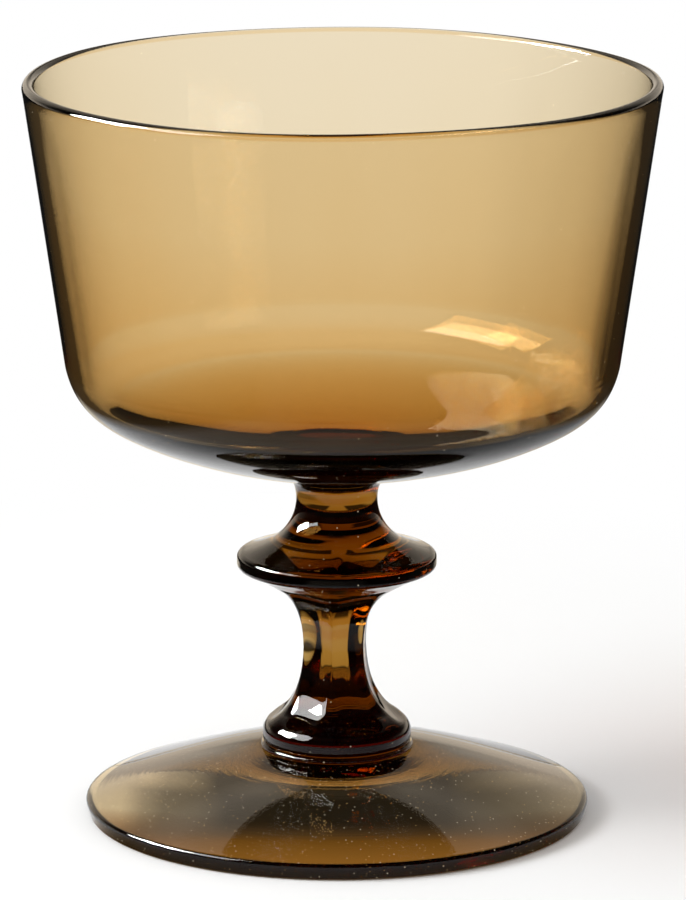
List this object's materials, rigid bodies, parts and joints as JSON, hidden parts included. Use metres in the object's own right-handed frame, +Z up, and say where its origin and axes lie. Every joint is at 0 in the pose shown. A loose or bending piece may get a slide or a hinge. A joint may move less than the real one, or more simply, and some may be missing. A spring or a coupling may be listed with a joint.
{
  "type": "sherbet glass",
  "caption": "Footed sherbet glass of smoky amber glass: straight flaring bowl on a short stem with a flat disc knop, fluted column and low domed foot.",
  "frame": {"origin": "centre of the ring the foot stands on, at table level", "axes": "+Z up along the glass's axis of revolution, -Y towards the picture's camera, +X to the right in the picture"},
  "size_m": [0.092, 0.092, 0.1087],
  "materials": {
    "foot_glass": "fire-polished, clear",
    "stem_glass": "pressed, fire-polished, clear",
    "bowl_glass": "blown, fire-polished, clear"
  },
  "bodies": {
    "root": {"foot": "foot_glass", "stem": "stem_glass", "bowl": "bowl_glass"}
  },
  "joints": []
}
